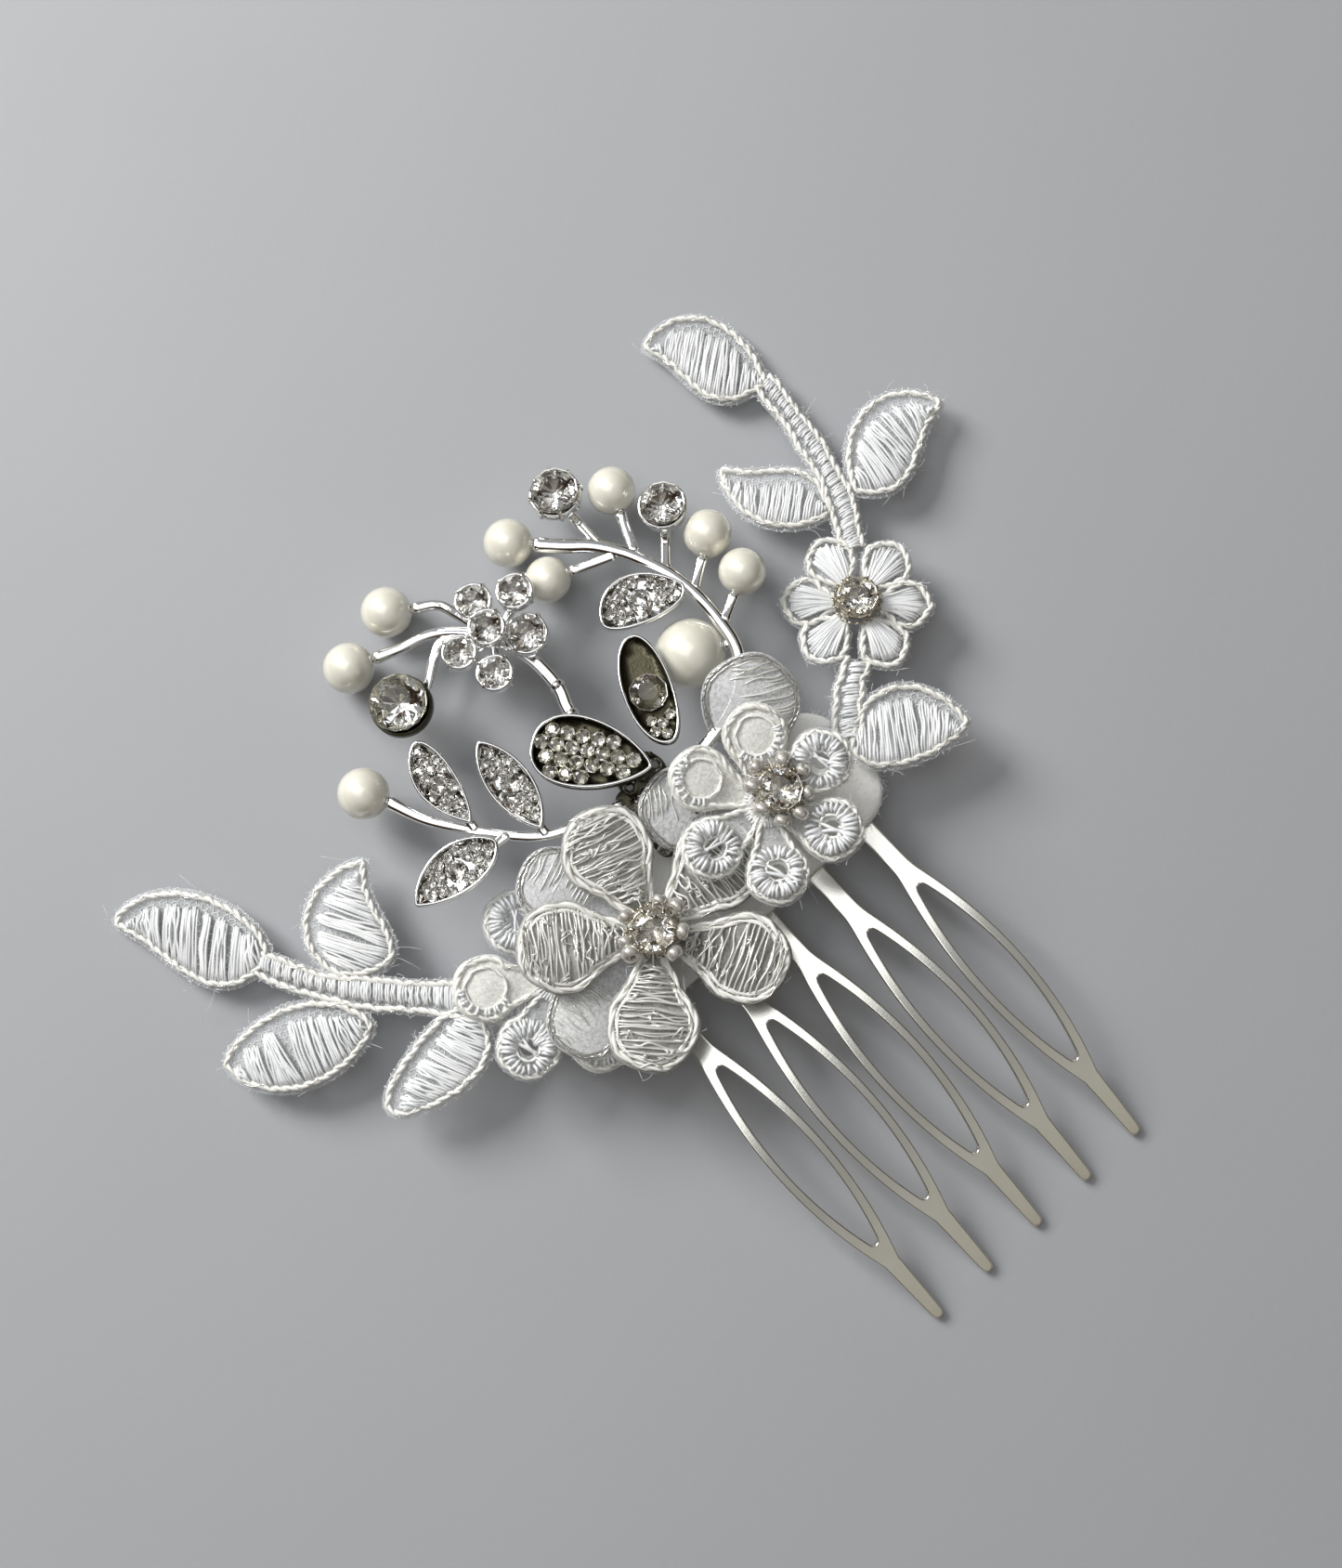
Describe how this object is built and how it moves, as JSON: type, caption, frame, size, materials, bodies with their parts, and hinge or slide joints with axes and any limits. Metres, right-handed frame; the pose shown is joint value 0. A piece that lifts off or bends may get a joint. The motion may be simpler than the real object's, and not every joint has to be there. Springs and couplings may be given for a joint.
{
  "type": "decorative hair comb",
  "caption": "Bowed metal hair comb with open-eyed teeth that carries corded lace flowers and leaf sprays, cast branches with pearls, and set stones.",
  "frame": {"origin": "centre line of the comb's spine on the flat underside of the felt back cover", "axes": "+X along the spine, -Y towards the tips of the teeth, +Z towards the decorated front"},
  "size_m": [0.1133, 0.107, 0.0142],
  "materials": {
    "comb_steel": "polished plated steel strip, warm grey",
    "felt": "white pressed felt",
    "glue": "translucent set adhesive",
    "silver_casting": "bright rhodium-like plated casting",
    "crystal": "faceted clear crystal on foil",
    "pearl": "cream imitation pearl with a soft lustre",
    "seed_bead": "clear round glass bead",
    "corded_lace": "white corded embroidery with satin stitch",
    "sheer_organza": "sheer iridescent organza with a corded edge"
  },
  "bodies": {
    "root": {"comb": "comb_steel", "back_cover": "felt", "glue_bed": "glue", "base_pad": "felt", "glue_dots": "glue", "pearl_branch": "silver_casting", "star_branch": "silver_casting", "leaf_branch": "silver_casting", "knot_setting": "silver_casting", "pearl_pegs": "silver_casting", "arc_leaf_setting": "silver_casting", "marquise_setting": "silver_casting", "teardrop_setting": "silver_casting", "upper_leaf_setting": "silver_casting", "middle_leaf_setting": "silver_casting", "lower_leaf_setting": "silver_casting", "arc_leaf_stones": "crystal", "marquise_stones": "crystal", "teardrop_stones": "crystal", "upper_leaf_stones": "crystal", "middle_leaf_stones": "crystal", "lower_leaf_stones": "crystal", "knot_stones": "crystal", "arc_pearl_1": "pearl", "arc_pearl_2": "pearl", "arc_pearl_3": "pearl", "arc_pearl_4": "pearl", "arc_pearl_5": "pearl", "large_pearl": "pearl", "star_pearl_1": "pearl", "star_pearl_2": "pearl", "leaf_pearl": "pearl", "twig_cup_1": "silver_casting", "twig_cup_2": "silver_casting", "star_cup": "silver_casting", "twig_stone_1": "crystal", "twig_stone_2": "crystal", "star_stone": "crystal", "floret_cups": "silver_casting", "floret_stones": "crystal", "upper_lace_spray": "corded_lace", "left_lace_spray": "corded_lace", "right_front_flower": "corded_lace", "right_back_flower": "sheer_organza", "left_front_flower": "corded_lace", "left_back_flower": "sheer_organza", "left_round_flower": "corded_lace", "right_jewel_cup": "silver_casting", "right_jewel_stone": "crystal", "left_jewel_cup": "silver_casting", "left_jewel_stone": "crystal", "spray_jewel_cup": "silver_casting", "spray_jewel_stone": "crystal", "right_seed_beads": "seed_bead", "left_seed_beads": "seed_bead"}
  },
  "joints": []
}
